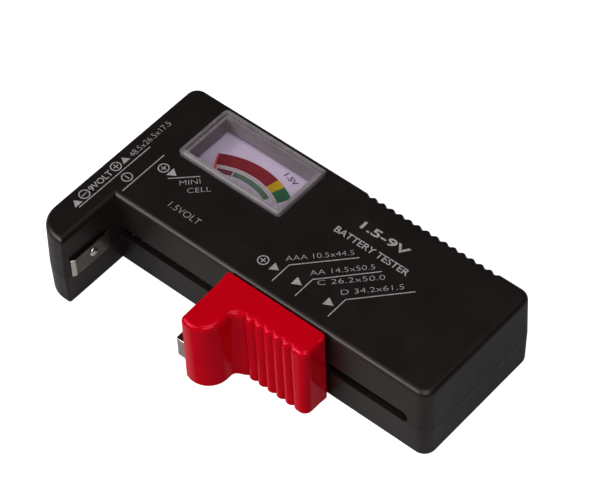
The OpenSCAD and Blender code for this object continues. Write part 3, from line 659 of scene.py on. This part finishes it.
NOSE_R, NOSE_X, NOSE_FILLET, HOLLOW_R, THUMB_CORNER = 6.0, 3.1, 1.5, 2.1, 2.2
THUMB_TOP, THUMB_FOOT = -8.3, -8.85  # where the ribbed face stands in Y
TOP_FALL, RIB_LEAN = 0.7, 0.8
BACK_R_LEFT, BACK_R_RIGHT = 1.0, 1.6
RIB_PITCH, RIB_X, RIBS, RIB_DEPTH, RIB_BULGE = 2.84, 58.88, 6, 0.95, 0.54
KNOB_ROUND, KNOB_ROUND_LOW = 1.4, 0.7
KNOB_WALL, CAVITY_Y, NOSE_CAVITY = 1.8, -5.9, 7.3
SCREWS_X = (59.5, 71.5)
SCREW_POST_R, SCREW_POST_Y, SCREW_HOLE_R, SCREW_HOLE_Y = 2.2, -6.7, 0.75, -6.3
BLADE_BACK = -6


def smooth(value, start, stop):
    """Runs smoothly from 0 at start to 1 at stop."""
    t = min(max((value - start) / (stop - start), 0), 1)
    return t * t * (3 - 2 * t)


def nose_outline(lo, back):
    """Left part of the knob's outline, from its back corner round the nose to the hollow."""
    drop = sqrt((NOSE_R - NOSE_FILLET) ** 2 - (NOSE_X - NOSE_FILLET) ** 2)
    nose = Vector((lo.x + NOSE_X, lo.y + NOSE_R))
    fillet = Vector((lo.x + NOSE_FILLET, nose.y - drop))
    meet = 360 + (fillet - nose).angle_signed(Vector((1, 0))) * 180 / pi
    return (arc(lo.x + BACK_R_LEFT, back - BACK_R_LEFT, BACK_R_LEFT, 90, 180, 8)
            + [(lo.x, y) for y in (-3, -6, -10, -14)]
            + arc(fillet.x, fillet.y, NOSE_FILLET, 180, meet, 8)
            + arc(nose.x, nose.y, NOSE_R, meet, 360, 26)[1:])


def knob_path(thumb, shift):
    """Outline of the knob as (x, y, distance along the ribbed face).

    The ribbed face stands at y = thumb, and its ribs are moved along it by shift.
    """
    lo, hi = box_mm("slider_knob")
    start, end = lo.x + NOSE_X + NOSE_R + HOLLOW_R, hi.x - THUMB_CORNER
    path = [(x, y, 0) for x, y in nose_outline(lo, hi.y)]
    steps = 24
    path += [(x, y, start - HOLLOW_R * pi / 2 * (1 - i / steps))
             for i, (x, y) in enumerate(arc(start, thumb - HOLLOW_R, HOLLOW_R, 180, 90, steps))]
    steps = 130
    face = [start + (end - start) * i / steps for i in range(1, steps)]
    path += [(x, thumb, x) for x in face]
    steps = 18
    path += [(x, y, end + THUMB_CORNER * pi / 2 * i / steps)
             for i, (x, y) in enumerate(arc(end, thumb + THUMB_CORNER, THUMB_CORNER, 270, 360, steps))]
    first, last = RIB_X - RIB_PITCH, RIB_X + (RIBS - 0.6) * RIB_PITCH
    path = [(x + shift * smooth(along, first, first + 2) * (1 - smooth(along, last, end)), y, along)
            for x, y, along in path]
    path += [(hi.x, y, 0) for y in (-5, -3.4, -2.2)]
    path += [(x, y, 0) for x, y in arc(hi.x - BACK_R_RIGHT, hi.y - BACK_R_RIGHT, BACK_R_RIGHT, 0, 90, 8)]
    return path


def rib_height(offset):
    """Height of a round rib, from 1 on its crest to 0 in the valley half a pitch away."""
    foot = sqrt(RIB_BULGE ** 2 - 0.25)
    return (sqrt(RIB_BULGE ** 2 - offset ** 2) - foot) / (RIB_BULGE - foot)


def knob_ring(path, normals, turn, end_z, side):
    """Ring of the knob; turn runs from 0 on the wall to 90 degrees on the flat end."""
    ring = []
    first, last, blend = RIB_X - RIB_PITCH / 2, RIB_X + (RIBS - 0.5) * RIB_PITCH, 0.8
    back_y, front_y = path[0][1], min(y for _, y, _ in path)
    for (x, y, along), normal in zip(path, normals):
        rounding = KNOB_ROUND if side > 0 else KNOB_ROUND_LOW
        rounding *= 1 - 0.8 * smooth(y, -4, -0.7)
        amount = smooth(along, first - blend, first) * (1 - smooth(along, last, last + blend))
        crest = 1.0
        if first < along < last:
            crest = rib_height((along - RIB_X) / RIB_PITCH % 1 - 0.5)
        wide = rounding * (1 - 0.4 * amount)
        back = amount * RIB_DEPTH * (1 - crest * cos(turn)) + wide * (1 - cos(turn))
        fall = TOP_FALL * (back_y - y + back * normal.y) / (back_y - front_y) if side > 0 else 0
        z = end_z - fall - side * rounding * (1 - sin(turn))
        ring.append((x - back * normal.x, y - back * normal.y, z))
    return ring


def screw_tool(r, front, length):
    """Cylinders round the two slider screws, from a given Y backwards."""
    z = sum(SLOT_Z) / 2
    return join("tool", [revolve("screw", [(0, r), (length, r)], turned(ALONG_Y, (x, front, z)))
                         for x in SCREWS_X])


def build_knob():
    """Hollow thumb slider with a nose, ribs, two screw posts and slits for the blade."""
    lo, hi = box_mm("slider_knob")
    turns = [pi / 2 * i / 7 for i in range(8)]
    rings = []
    for thumb, shift, end_z, side in ((THUMB_FOOT, RIB_LEAN, lo.z, -1), (THUMB_TOP, 0, hi.z, 1)):
        path = knob_path(thumb, shift)
        normals = corner_normals([(x, y) for x, y, _ in path])
        rings += [knob_ring(path, normals, turn, end_z, side) for turn in turns[::side]]
    knob = loft("knob", rings)
    inner_x, low_z, high_z = lo.x + KNOB_WALL, lo.z + KNOB_WALL, hi.z - KNOB_WALL
    combine(knob, block("tool", (inner_x, CAVITY_Y, low_z), (hi.x - KNOB_WALL, 1, high_z)))
    combine(knob, block("tool", (inner_x, lo.y + NOSE_R - 2, low_z), (lo.x + NOSE_CAVITY, 1, high_z)))
    combine(knob, screw_tool(SCREW_POST_R, SCREW_POST_Y, 4.8), "UNION")
    combine(knob, screw_tool(SCREW_HOLE_R, SCREW_HOLE_Y, 8))
    blade_lo, blade_hi = box_mm("slider_contact")
    slits = [block("slit", (lo.x - 1, y - 0.1, blade_lo.z - 0.1), (inner_x + 1, y + 0.5, z))
             for y, z in ((blade_lo.y, blade_hi.z + 1.4), (BLADE_BACK - 0.4, blade_hi.z + 0.1))]
    combine(knob, join("tool", slits))
    piece(knob, "knob", "slider", RED, ["slider_knob"])


# ---------------------------------------------------------------- contacts


def build_strip():
    """Strip that stands off the arm's inner face, with both ends bent to it."""
    lo, hi = box_mm("arm_contact")
    t = 0.5
    mid_x = hi.x - 0.25 - t / 2
    ramp_y, back_y = lo.y + t / 2 + 0.1, hi.y - t / 2
    path = [(lo.x, ramp_y), (ARM_T + 0.1, ramp_y), (mid_x, ramp_y + 0.9), (mid_x, back_y),
            (ARM_T + 0.05, back_y)]
    strip = prism("strip", ribbon(path, t, 0.3), chamfered(lo.z, hi.z))
    combine(strip, block("tool", (0, lo.y - 1, hi.z - 0.6), (ARM_T, lo.y + 2, 30)))
    combine(strip, block("tool", (0, lo.y - 1, 0), (ARM_T, lo.y + 2, lo.z + 1.3)))
    rivet = middle_mm("arm_rivet")
    combine(strip, revolve("tool", [(0, RIVET_HOLE_R), (ARM_T + 4, RIVET_HOLE_R)],
                           turned(ALONG_X, (0, rivet.y, rivet.z))))
    piece(strip, "arm_strip", "case", STRIP, ["arm_contact"])


def build_rivet():
    """Rivet with a domed head."""
    lo, hi = box_mm("arm_rivet")
    centre = middle_mm("arm_rivet")
    shank_r, head_r, dome, flange = 0.75, 1.3, 0.56, 0.65
    seat = hi.x - lo.x - 0.64
    profile = [(0, head_r), (flange, head_r), (flange, shank_r), (seat, shank_r), (seat, head_r)]
    angles = [pi / 2 * i / 10 for i in range(10)]
    profile += [(seat + 0.05 + dome * sin(a), head_r * cos(a)) for a in angles]
    rivet = revolve("rivet", profile, turned(ALONG_X, (lo.x, centre.y, centre.z)))
    piece(rivet, "strip_rivet", "case", POLISHED, ["arm_rivet"])


def build_blade():
    """Blade folded round the knob's left face, with an arm that runs back through the slot."""
    lo, hi = box_mm("slider_contact")
    t, bend, edge = 0.4, 0.3, 0.05
    x, front, back = lo.x + t / 2, lo.y + t / 2, BLADE_BACK - t / 2
    front_end, back_end, arm_start = 49.7, 47.5, 46.5
    tongue, tail, arm_low, arm_high = 52.2 + t / 2, hi.y - t / 2, 10.2, 12.4
    fold = ribbon([(front_end, front), (x, front), (x, back), (back_end, back)], t, bend)
    blade = prism("blade", fold, chamfered(lo.z, hi.z, edge))
    arm = ribbon([(arm_start, back), (tongue, back), (tongue, tail), (hi.x, tail)], t, bend)
    combine(blade, prism("arm", arm, chamfered(arm_low, arm_high, edge)), "UNION")
    piece(blade, "slider_blade", "slider", NICKEL, ["slider_contact"])


def build_studs():
    """The two turned studs in the left end face; the negative one is dished."""
    for node, name, dish in (("nine_volt_negative", "stud_negative", 0.25),
                             ("nine_volt_positive", "stud_positive", 0.0)):
        lo, hi = box_mm(node)
        centre = middle_mm(node)
        reach, shank_r, foot_r = hi.x - lo.x, 1, 1.7
        face = [(dish, 0.5), (dish, 1.1), (0.04, 1.5)] if dish else [(0.0, 0.5), (0.0, 1.2)]
        profile = face + [(0.0, 1.75), (0.06, 2.15), (0.22, 2.4), (0.42, 2.5), (0.9, 2.5), (0.9, shank_r),
                          (reach - 0.8, shank_r), (reach - 0.8, foot_r), (reach, foot_r)]
        stud = revolve(name, profile, turned(ALONG_X, (lo.x, centre.y, centre.z)))
        piece(stud, name, "case", NICKEL, [node])


# ---------------------------------------------------------------- meter

COVER_R = 1.2
NEEDLE_GAP_Z = 20.4  # the front walls of cover and frame are open below this for the needle
SCALE_END = 120.5  # angle of the scale's left end, where the needle rests
BAND_R, LOW_BAND_R, LINE_R = (19.7, 23.4), (17.0, 18.5), (18.75, 19.5)


def build_window():
    """Clear cover in two pieces: its rim and the plate inside the rim."""
    lo, hi = box_mm("meter_cover")
    wall, lip, under, step, fit = 0.9, 1.3, HEIGHT - 0.1, 0.12, 0.01
    rim = rounded_box("rim", lo, hi, COVER_R, [(lo.z, 0), (hi.z - 0.55, 0), (hi.z - 0.45, 0.06),
                                               (hi.z - 0.07, 0.42), (hi.z, 0.55)])
    combine(rim, rounded_box("tool", lo, hi, COVER_R, [(lo.z - 1, wall), (under, wall), (under, lip),
                                                       (hi.z - step, lip), (hi.z + 0.05, lip - 0.15)]))
    combine(rim, block("tool", (lo.x + wall, lo.y - 1, lo.z - 1), (hi.x - wall, lo.y + 1.9, NEEDLE_GAP_Z)))
    piece(rim, "window_rim", "case", CLEAR_EDGE, ["meter_cover"])
    top = hi.z - step
    plate = rounded_box("plate", lo, hi, COVER_R, [(under, lip + 0.06), (under + 0.05, lip + fit),
                                                   (top - 0.05, lip + fit), (top, lip + 0.06)])
    piece(plate, "window", "case", CLEAR, ["meter_cover"])


def build_window_frame():
    """Grey ring that makes the visible walls of the well."""
    lo, hi = box_mm("meter_frame")
    side, front, back = 0.85, 1.1, 0.95
    inner = rounded_rect((lo.x + side, lo.y + front), (hi.x - side, hi.y - back), 0.35)
    ring = prism("frame", rounded_rect(lo, hi, 0.5), chamfered(lo.z, hi.z, 0.12))
    foot = lo.z + 0.7
    combine(ring, prism("tool", inner, [(lo.z - 1, -0.4), (foot, -0.4), (foot, 0), (hi.z + 1, 0)]))
    combine(ring, block("tool", (lo.x + side, lo.y - 1, lo.z - 1), (hi.x - side, lo.y + 2, NEEDLE_GAP_Z)))
    piece(ring, "window_frame", "case", GREY, ["meter_frame"])


def needle_pivot():
    """Pivot of the needle, in mm, from the joint's place in the record."""
    joint = next(j for j in frame["record"]["behaviour"]["joints"] if j["name"] == "pointer_swing")
    return TO_FRAME.inverted() @ Vector(joint["pos_m"])


def sector(name, centre, radii, start, end, z):
    """Thin ring sector of paint between two radii and two angles."""
    steps = max(int(abs(end - start) / 1.5), 2)
    outline = arc(*centre, radii[1], start, end, steps) + arc(*centre, radii[0], end, start, steps)
    return prism(name, outline, [(z - 0.01, 0), (z + 0.04, 0)])


def build_dial():
    """Coloured bands and the mark on the dial."""
    z = box_mm("dial_plate")[1].z
    pivot = needle_pivot()
    bands = [("dial_red", DIAL_RED, BAND_R, 76.7, SCALE_END),
             ("dial_yellow", DIAL_YELLOW, BAND_R, 69.7, 76.7),
             ("dial_green", DIAL_GREEN, BAND_R, 59, 69.7),
             ("dial_low_red", DIAL_PALE_RED, LOW_BAND_R, 106, 119),
             ("dial_low_green", DIAL_PALE_GREEN, LOW_BAND_R, 66, 105),
             ("dial_line", DIAL_CREAM, LINE_R, 58, SCALE_END)]
    for name, material, radii, start, end in bands:
        band = sector(name, (pivot.x, pivot.y), radii, start, end, z)
        piece(band, name, "case", material)
    mark = lettering("1.5V", (34.4, 34.7), (38.8, 33.6), 1.5, z, 0.02)
    piece(mark, "dial_marks", "case", DIAL_INK)


def build_needle():
    """Tapered needle with a hub that is bored for the shaft."""
    length, tail, height, thick = 22.6, 4, 19.3, 0.1
    root, taper, tip, steps = 0.34, 0.12, 0.1, 12
    angles = [2 * pi * i / steps for i in range(steps)]
    rings = []
    for i in range(steps + 1):
        along = -tail + (length + tail) * i / steps
        half = root - taper * i / steps if i < steps else tip
        rings.append([(along, half * cos(a), height + thick * sin(a)) for a in angles])
    needle = loft("needle", rings)
    hub = revolve("hub", [(18.9, 0.42), (18.9, 1.0), (19.0, 1.1), (19.6, 1.1), (19.7, 1.0), (19.7, 0.42)])
    combine(needle, hub, "UNION")
    combine(needle, revolve("tool", [(10, 0.4), (30, 0.4)]))
    pivot = needle_pivot()
    rest = Matrix.Rotation(radians(SCALE_END), 4, "Z")
    needle.data.transform(Matrix.Translation((pivot.x, pivot.y, 0)) @ rest)
    piece(needle, "needle", "movement", NEEDLE, ["pointer"])


# ---------------------------------------------------------------- print

INK_T, INK_SINK = 0.035, 0.01  # thickness of the print, and how far it reaches into the face
SIGN_R = 1.5
# Per cell size: x of the upright line, y of its foot and bend, end of the sloping line,
# x of the arrow's tip and back.
SIZE_LINES = [(57.3, 4.15, 10.45, (68.8, 22.8), 56.5, 54.3),
              (64.5, 4.2, 10.6, (75.7, 22.9), 63.7, 61.3),
              (74.5, 4.4, 10.85, (85.7, 23.1), 73.5, 71.1)]
SIZE_TEXTS = [("AAA 10.5x44.5", (55.9, 10.9), (67.3, 22.7)), ("AA 14.5x50.5", (63.3, 11.2), (74.0, 22.5)),
              ("C 26.2x50.0", (66.6, 10.0), (77.9, 21.5)), ("D 34.2x61.5", (72.8, 11.3), (83.2, 22.1))]
SIZE_Y = 7.65


def lettering(text, start, end, height, z, weight):
    """Raised letters from start to end along their base line, with the given cap height."""
    curve = bpy.data.curves.new("text", "FONT")
    curve.body = text
    curve.extrude = 0.5
    curve.offset = weight
    curve.resolution_u = 4
    flat = show("text", curve)
    mesh = evaluated_mesh(flat)
    bpy.data.objects.remove(flat, do_unlink=True)
    xs = [v.co.x for v in mesh.vertices]
    ys = [v.co.y for v in mesh.vertices]
    run = Vector(end) - Vector(start)
    fit = Matrix.Diagonal((run.length / (max(xs) - min(xs)), height / (max(ys) - min(ys)), INK_T, 1))
    turn = Matrix.Rotation(run.angle_signed(Vector((1, 0))), 4, "Z")
    place = Matrix.Translation((*start, z + INK_T / 2 - INK_SINK))
    mesh.transform(place @ turn @ fit @ Matrix.Translation((-min(xs), -min(ys), 0)))
    return show("text", mesh)


def label(text, start, end, height=1.5, weight=-0.018):
    """Letters on the top face; weight widens their strokes."""
    return lettering(text, start, end, height, HEIGHT, weight)


def ink(outline):
    return prism("ink", outline, [(HEIGHT - INK_SINK, 0), (HEIGHT + INK_T - INK_SINK, 0)])


def ink_line(points, width=0.27):
    return ink(ribbon(points, width))


def ink_ring(x, y):
    """Ring round a sign."""
    width, steps = 0.3, 47
    end = 360 - 360 / (steps + 1)
    disc = ink(arc(x, y, SIGN_R, 0, end, steps))
    hole = arc(x, y, SIGN_R - width, 0, end, steps)
    return combine(disc, prism("tool", hole, [(HEIGHT - 1, 0), (HEIGHT + 1, 0)]))


def sign(x, y, bars):
    """Circled sign; bars is "-" for a level bar, "|" for an upright one and "+" for both."""
    arm = SIGN_R * 0.55
    level, upright = [(x - arm, y), (x + arm, y)], [(x, y - arm), (x, y + arm)]
    lines = [ink_line(bar, 0.25) for bar in {"-": [level], "|": [upright], "+": [level, upright]}[bars]]
    if bars == "+":
        lines = [combine(*lines, "UNION")]
    return [ink_ring(x, y)] + lines


def arrow(tip, back, half):
    """Solid triangle that points from back to tip."""
    tip, back = Vector(tip), Vector(back)
    side = (tip - back).normalized().orthogonal() * half
    return ink([tuple(tip), tuple(back + side), tuple(back - side)])


def print_group(name, shapes):
    piece(join(name, shapes), name, "case", INK)


def build_print():
    """The four groups of print on the top face."""
    lines = [ink_line([(x, low), (x, bend), end]) for x, low, bend, end, _, _ in SIZE_LINES]
    arrows = [arrow((tip, SIZE_Y), (back, SIZE_Y), 1.3) for *_, tip, back in SIZE_LINES]
    texts = [label(*text) for text in SIZE_TEXTS]
    print_group("print_sizes", lines + arrows + texts + sign(51.5, SIZE_Y, "+"))

    small = [label("1.5VOLT", (22.2, 5.8), (31.9, 5.8), 1.85), ink_line([(10.4, 2.4), (10.4, 17.5)])]
    small += sign(8.2, 6.4, "-")
    small += [arrow((17.4, 14.4), (15.2, 14.4), 1.4), ink_line([(16.3, 12.4), (22, 17.9)]),
              label("MINI", (20.1, 12.6), (23.6, 16.3)), label("CELL", (23.2, 11.9), (27.3, 16.0))]
    print_group("print_small_cell", small + sign(13.2, 14.3, "+"))

    column = [ink_line([(5.85, -8.2), (5.85, 17.4)]), arrow((3.2, -7.5), (5.2, -7.5), 1.3),
              label("9VOLT", (4.9, -2.4), (4.9, 5.2), 1.9, 0.01), arrow((2.75, 10.2), (4.7, 10.2), 1.2),
              label("48.5x26.5x17.5", (4.9, 12.1), (4.9, 26.4), 1.7)]
    print_group("print_nine_volt", column + sign(3.9, -4.3, "|") + sign(3.7, 7.2, "+"))

    print_group("print_title", [label("1.5-9V", (62.7, 30.0), (77, 30.0), 2.5, 0.02),
                                label("BATTERY TESTER", (58.5, 25.3), (81, 25.3), 2.0, 0.01)])


# ---------------------------------------------------------------- CAD nodes that stay

FINISHES = {
    STEEL: ["case_screws", "rail_screws", "slider_screws", "dial_screws", "pivot_shafts",
            "bridge_screws", "stop_pins"],
    NICKEL: ["contact_rail"],
    BRASS: ["slider_wiper", "balance_weight", "core_bracket", "top_bridge", "bottom_bridge",
            "jewel_screws", "spring_anchors", "meter_terminals"],
    RED: ["slider_carriage"], METER: ["meter_case"], ENAMEL: ["dial_plate"], MAGNET: ["magnet"],
    IRON: ["pole_pieces", "core"], ALUMINIUM: ["coil_former"], COPPER: ["coil_winding"],
    SPRING: ["hairsprings"], CERAMIC_BLUE: ["load_resistor"],
    CERAMIC_TAN: ["series_resistor", "nine_volt_resistor"], TINNED: ["resistor_leads"],
    VINYL_RED: ["red_wire"], VINYL_BLACK: ["black_wire"], VINYL_BLUE: ["sense_wire"],
    VINYL_YELLOW: ["nine_volt_wire"],
}


def paint_frame():
    for material, nodes in FINISHES.items():
        for node in nodes:
            for slot in frame["nodes"][node].material_slots:
                slot.material = material


# ---------------------------------------------------------------- floor, light and camera

FLOOR_HALF, FLOOR_Z = 3, -0.0002  # metres
# Name, direction from the origin, distance and size in metres, power in watts.
LIGHTS = [("key", (-0.5, -0.65, 0.58), 1.0, (0.9, 0.7), 8.5),
          ("spark", (-0.434, -0.768, 0.475), 1.0, (0.1, 0.1), 1.5),
          ("fill", (0.5, -0.45, 0.74), 1.0, (0.6, 0.6), 4.6),
          ("overhead", (0.1, 0.0, 1.0), 1.1, (0.5, 0.5), 3.1)]
CAMERA_AZIMUTH, CAMERA_ELEVATION, CAMERA_ROLL = radians(42.42), radians(50.23), radians(-2.43)
CAMERA_DISTANCE, CAMERA_TARGET, CAMERA_LENS = 0.6583, (50.16, 23.18, 12.0), 159.8


def build_floor():
    """Wide pale floor. The camera sees it evenly white, while it bounces less light."""
    corners = [(x * FLOOR_HALF, y * FLOOR_HALF, FLOOR_Z) for x, y in ((-1, -1), (1, -1), (1, 1), (-1, 1))]
    floor = new_object("floor", corners, [(0, 1, 2, 3)])
    material, tree, out = node_tree("floor_look")
    diffuse = tree.nodes.new("ShaderNodeBsdfDiffuse")
    grain = ramp(tree, noise(tree, 60), (0.37, 0.37, 0.37), (0.39, 0.39, 0.39))
    tree.links.new(grain, diffuse.inputs["Color"])
    bright = tree.nodes.new("ShaderNodeEmission")
    bright.inputs["Strength"].default_value = 0.95
    seen = added(tree, diffuse.outputs["BSDF"], bright.outputs["Emission"])
    look = blended(tree, ray_is(tree, "Camera"), diffuse.outputs["BSDF"], seen)
    tree.links.new(look, out.inputs["Surface"])
    floor.data.materials.append(material)


def softbox(name, direction, distance, size, power):
    """Area light that looks at the origin."""
    light = bpy.data.lights.new(name, "AREA")
    light.shape = "RECTANGLE"
    light.size, light.size_y = size
    light.energy = power
    obj = show(name, light)
    away = Vector(direction).normalized()
    obj.location = away * distance
    obj.rotation_euler = away.to_track_quat("Z", "Y").to_euler()


def build_world():
    """Surroundings that the camera sees white and that light the object only faintly."""
    world = bpy.data.worlds.new("studio")
    world.use_nodes = True
    tree = world.node_tree
    tree.nodes.clear()
    out = tree.nodes.new("ShaderNodeOutputWorld")
    dark, pale = tree.nodes.new("ShaderNodeBackground"), tree.nodes.new("ShaderNodeBackground")
    dark.inputs["Color"].default_value = (0.03, 0.03, 0.03, 1)
    pale.inputs["Color"].default_value = (0.95, 0.95, 0.95, 1)
    look = blended(tree, ray_is(tree, "Camera"), dark.outputs["Background"], pale.outputs["Background"])
    tree.links.new(look, out.inputs["Surface"])
    bpy.context.scene.world = world


def build_camera():
    """Camera at the photo's viewing angle, with a long lens."""
    data = bpy.data.cameras.new("camera")
    data.lens, data.sensor_width = CAMERA_LENS, 36
    data.clip_start, data.clip_end = 0.01, 10
    level = cos(CAMERA_ELEVATION)
    back = Vector((sin(CAMERA_AZIMUTH) * level, -cos(CAMERA_AZIMUTH) * level, sin(CAMERA_ELEVATION)))
    turn = back.to_track_quat("Z", "Y").to_matrix().to_4x4() @ Matrix.Rotation(CAMERA_ROLL, 4, "Z")
    camera = show("camera", data)
    place = TO_FRAME @ Vector(CAMERA_TARGET) + back * CAMERA_DISTANCE
    camera.matrix_world = Matrix.Translation(place) @ turn
    bpy.context.scene.camera = camera


build_case_top()
build_case_bottom()
build_knob()
build_strip()
build_rivet()
build_blade()
build_studs()
build_window()
build_window_frame()
build_dial()
build_needle()
build_print()
paint_frame()
build_floor()
for setting in LIGHTS:
    softbox(*setting)
build_world()
build_camera()
bpy.context.scene.view_settings.view_transform = "Standard"
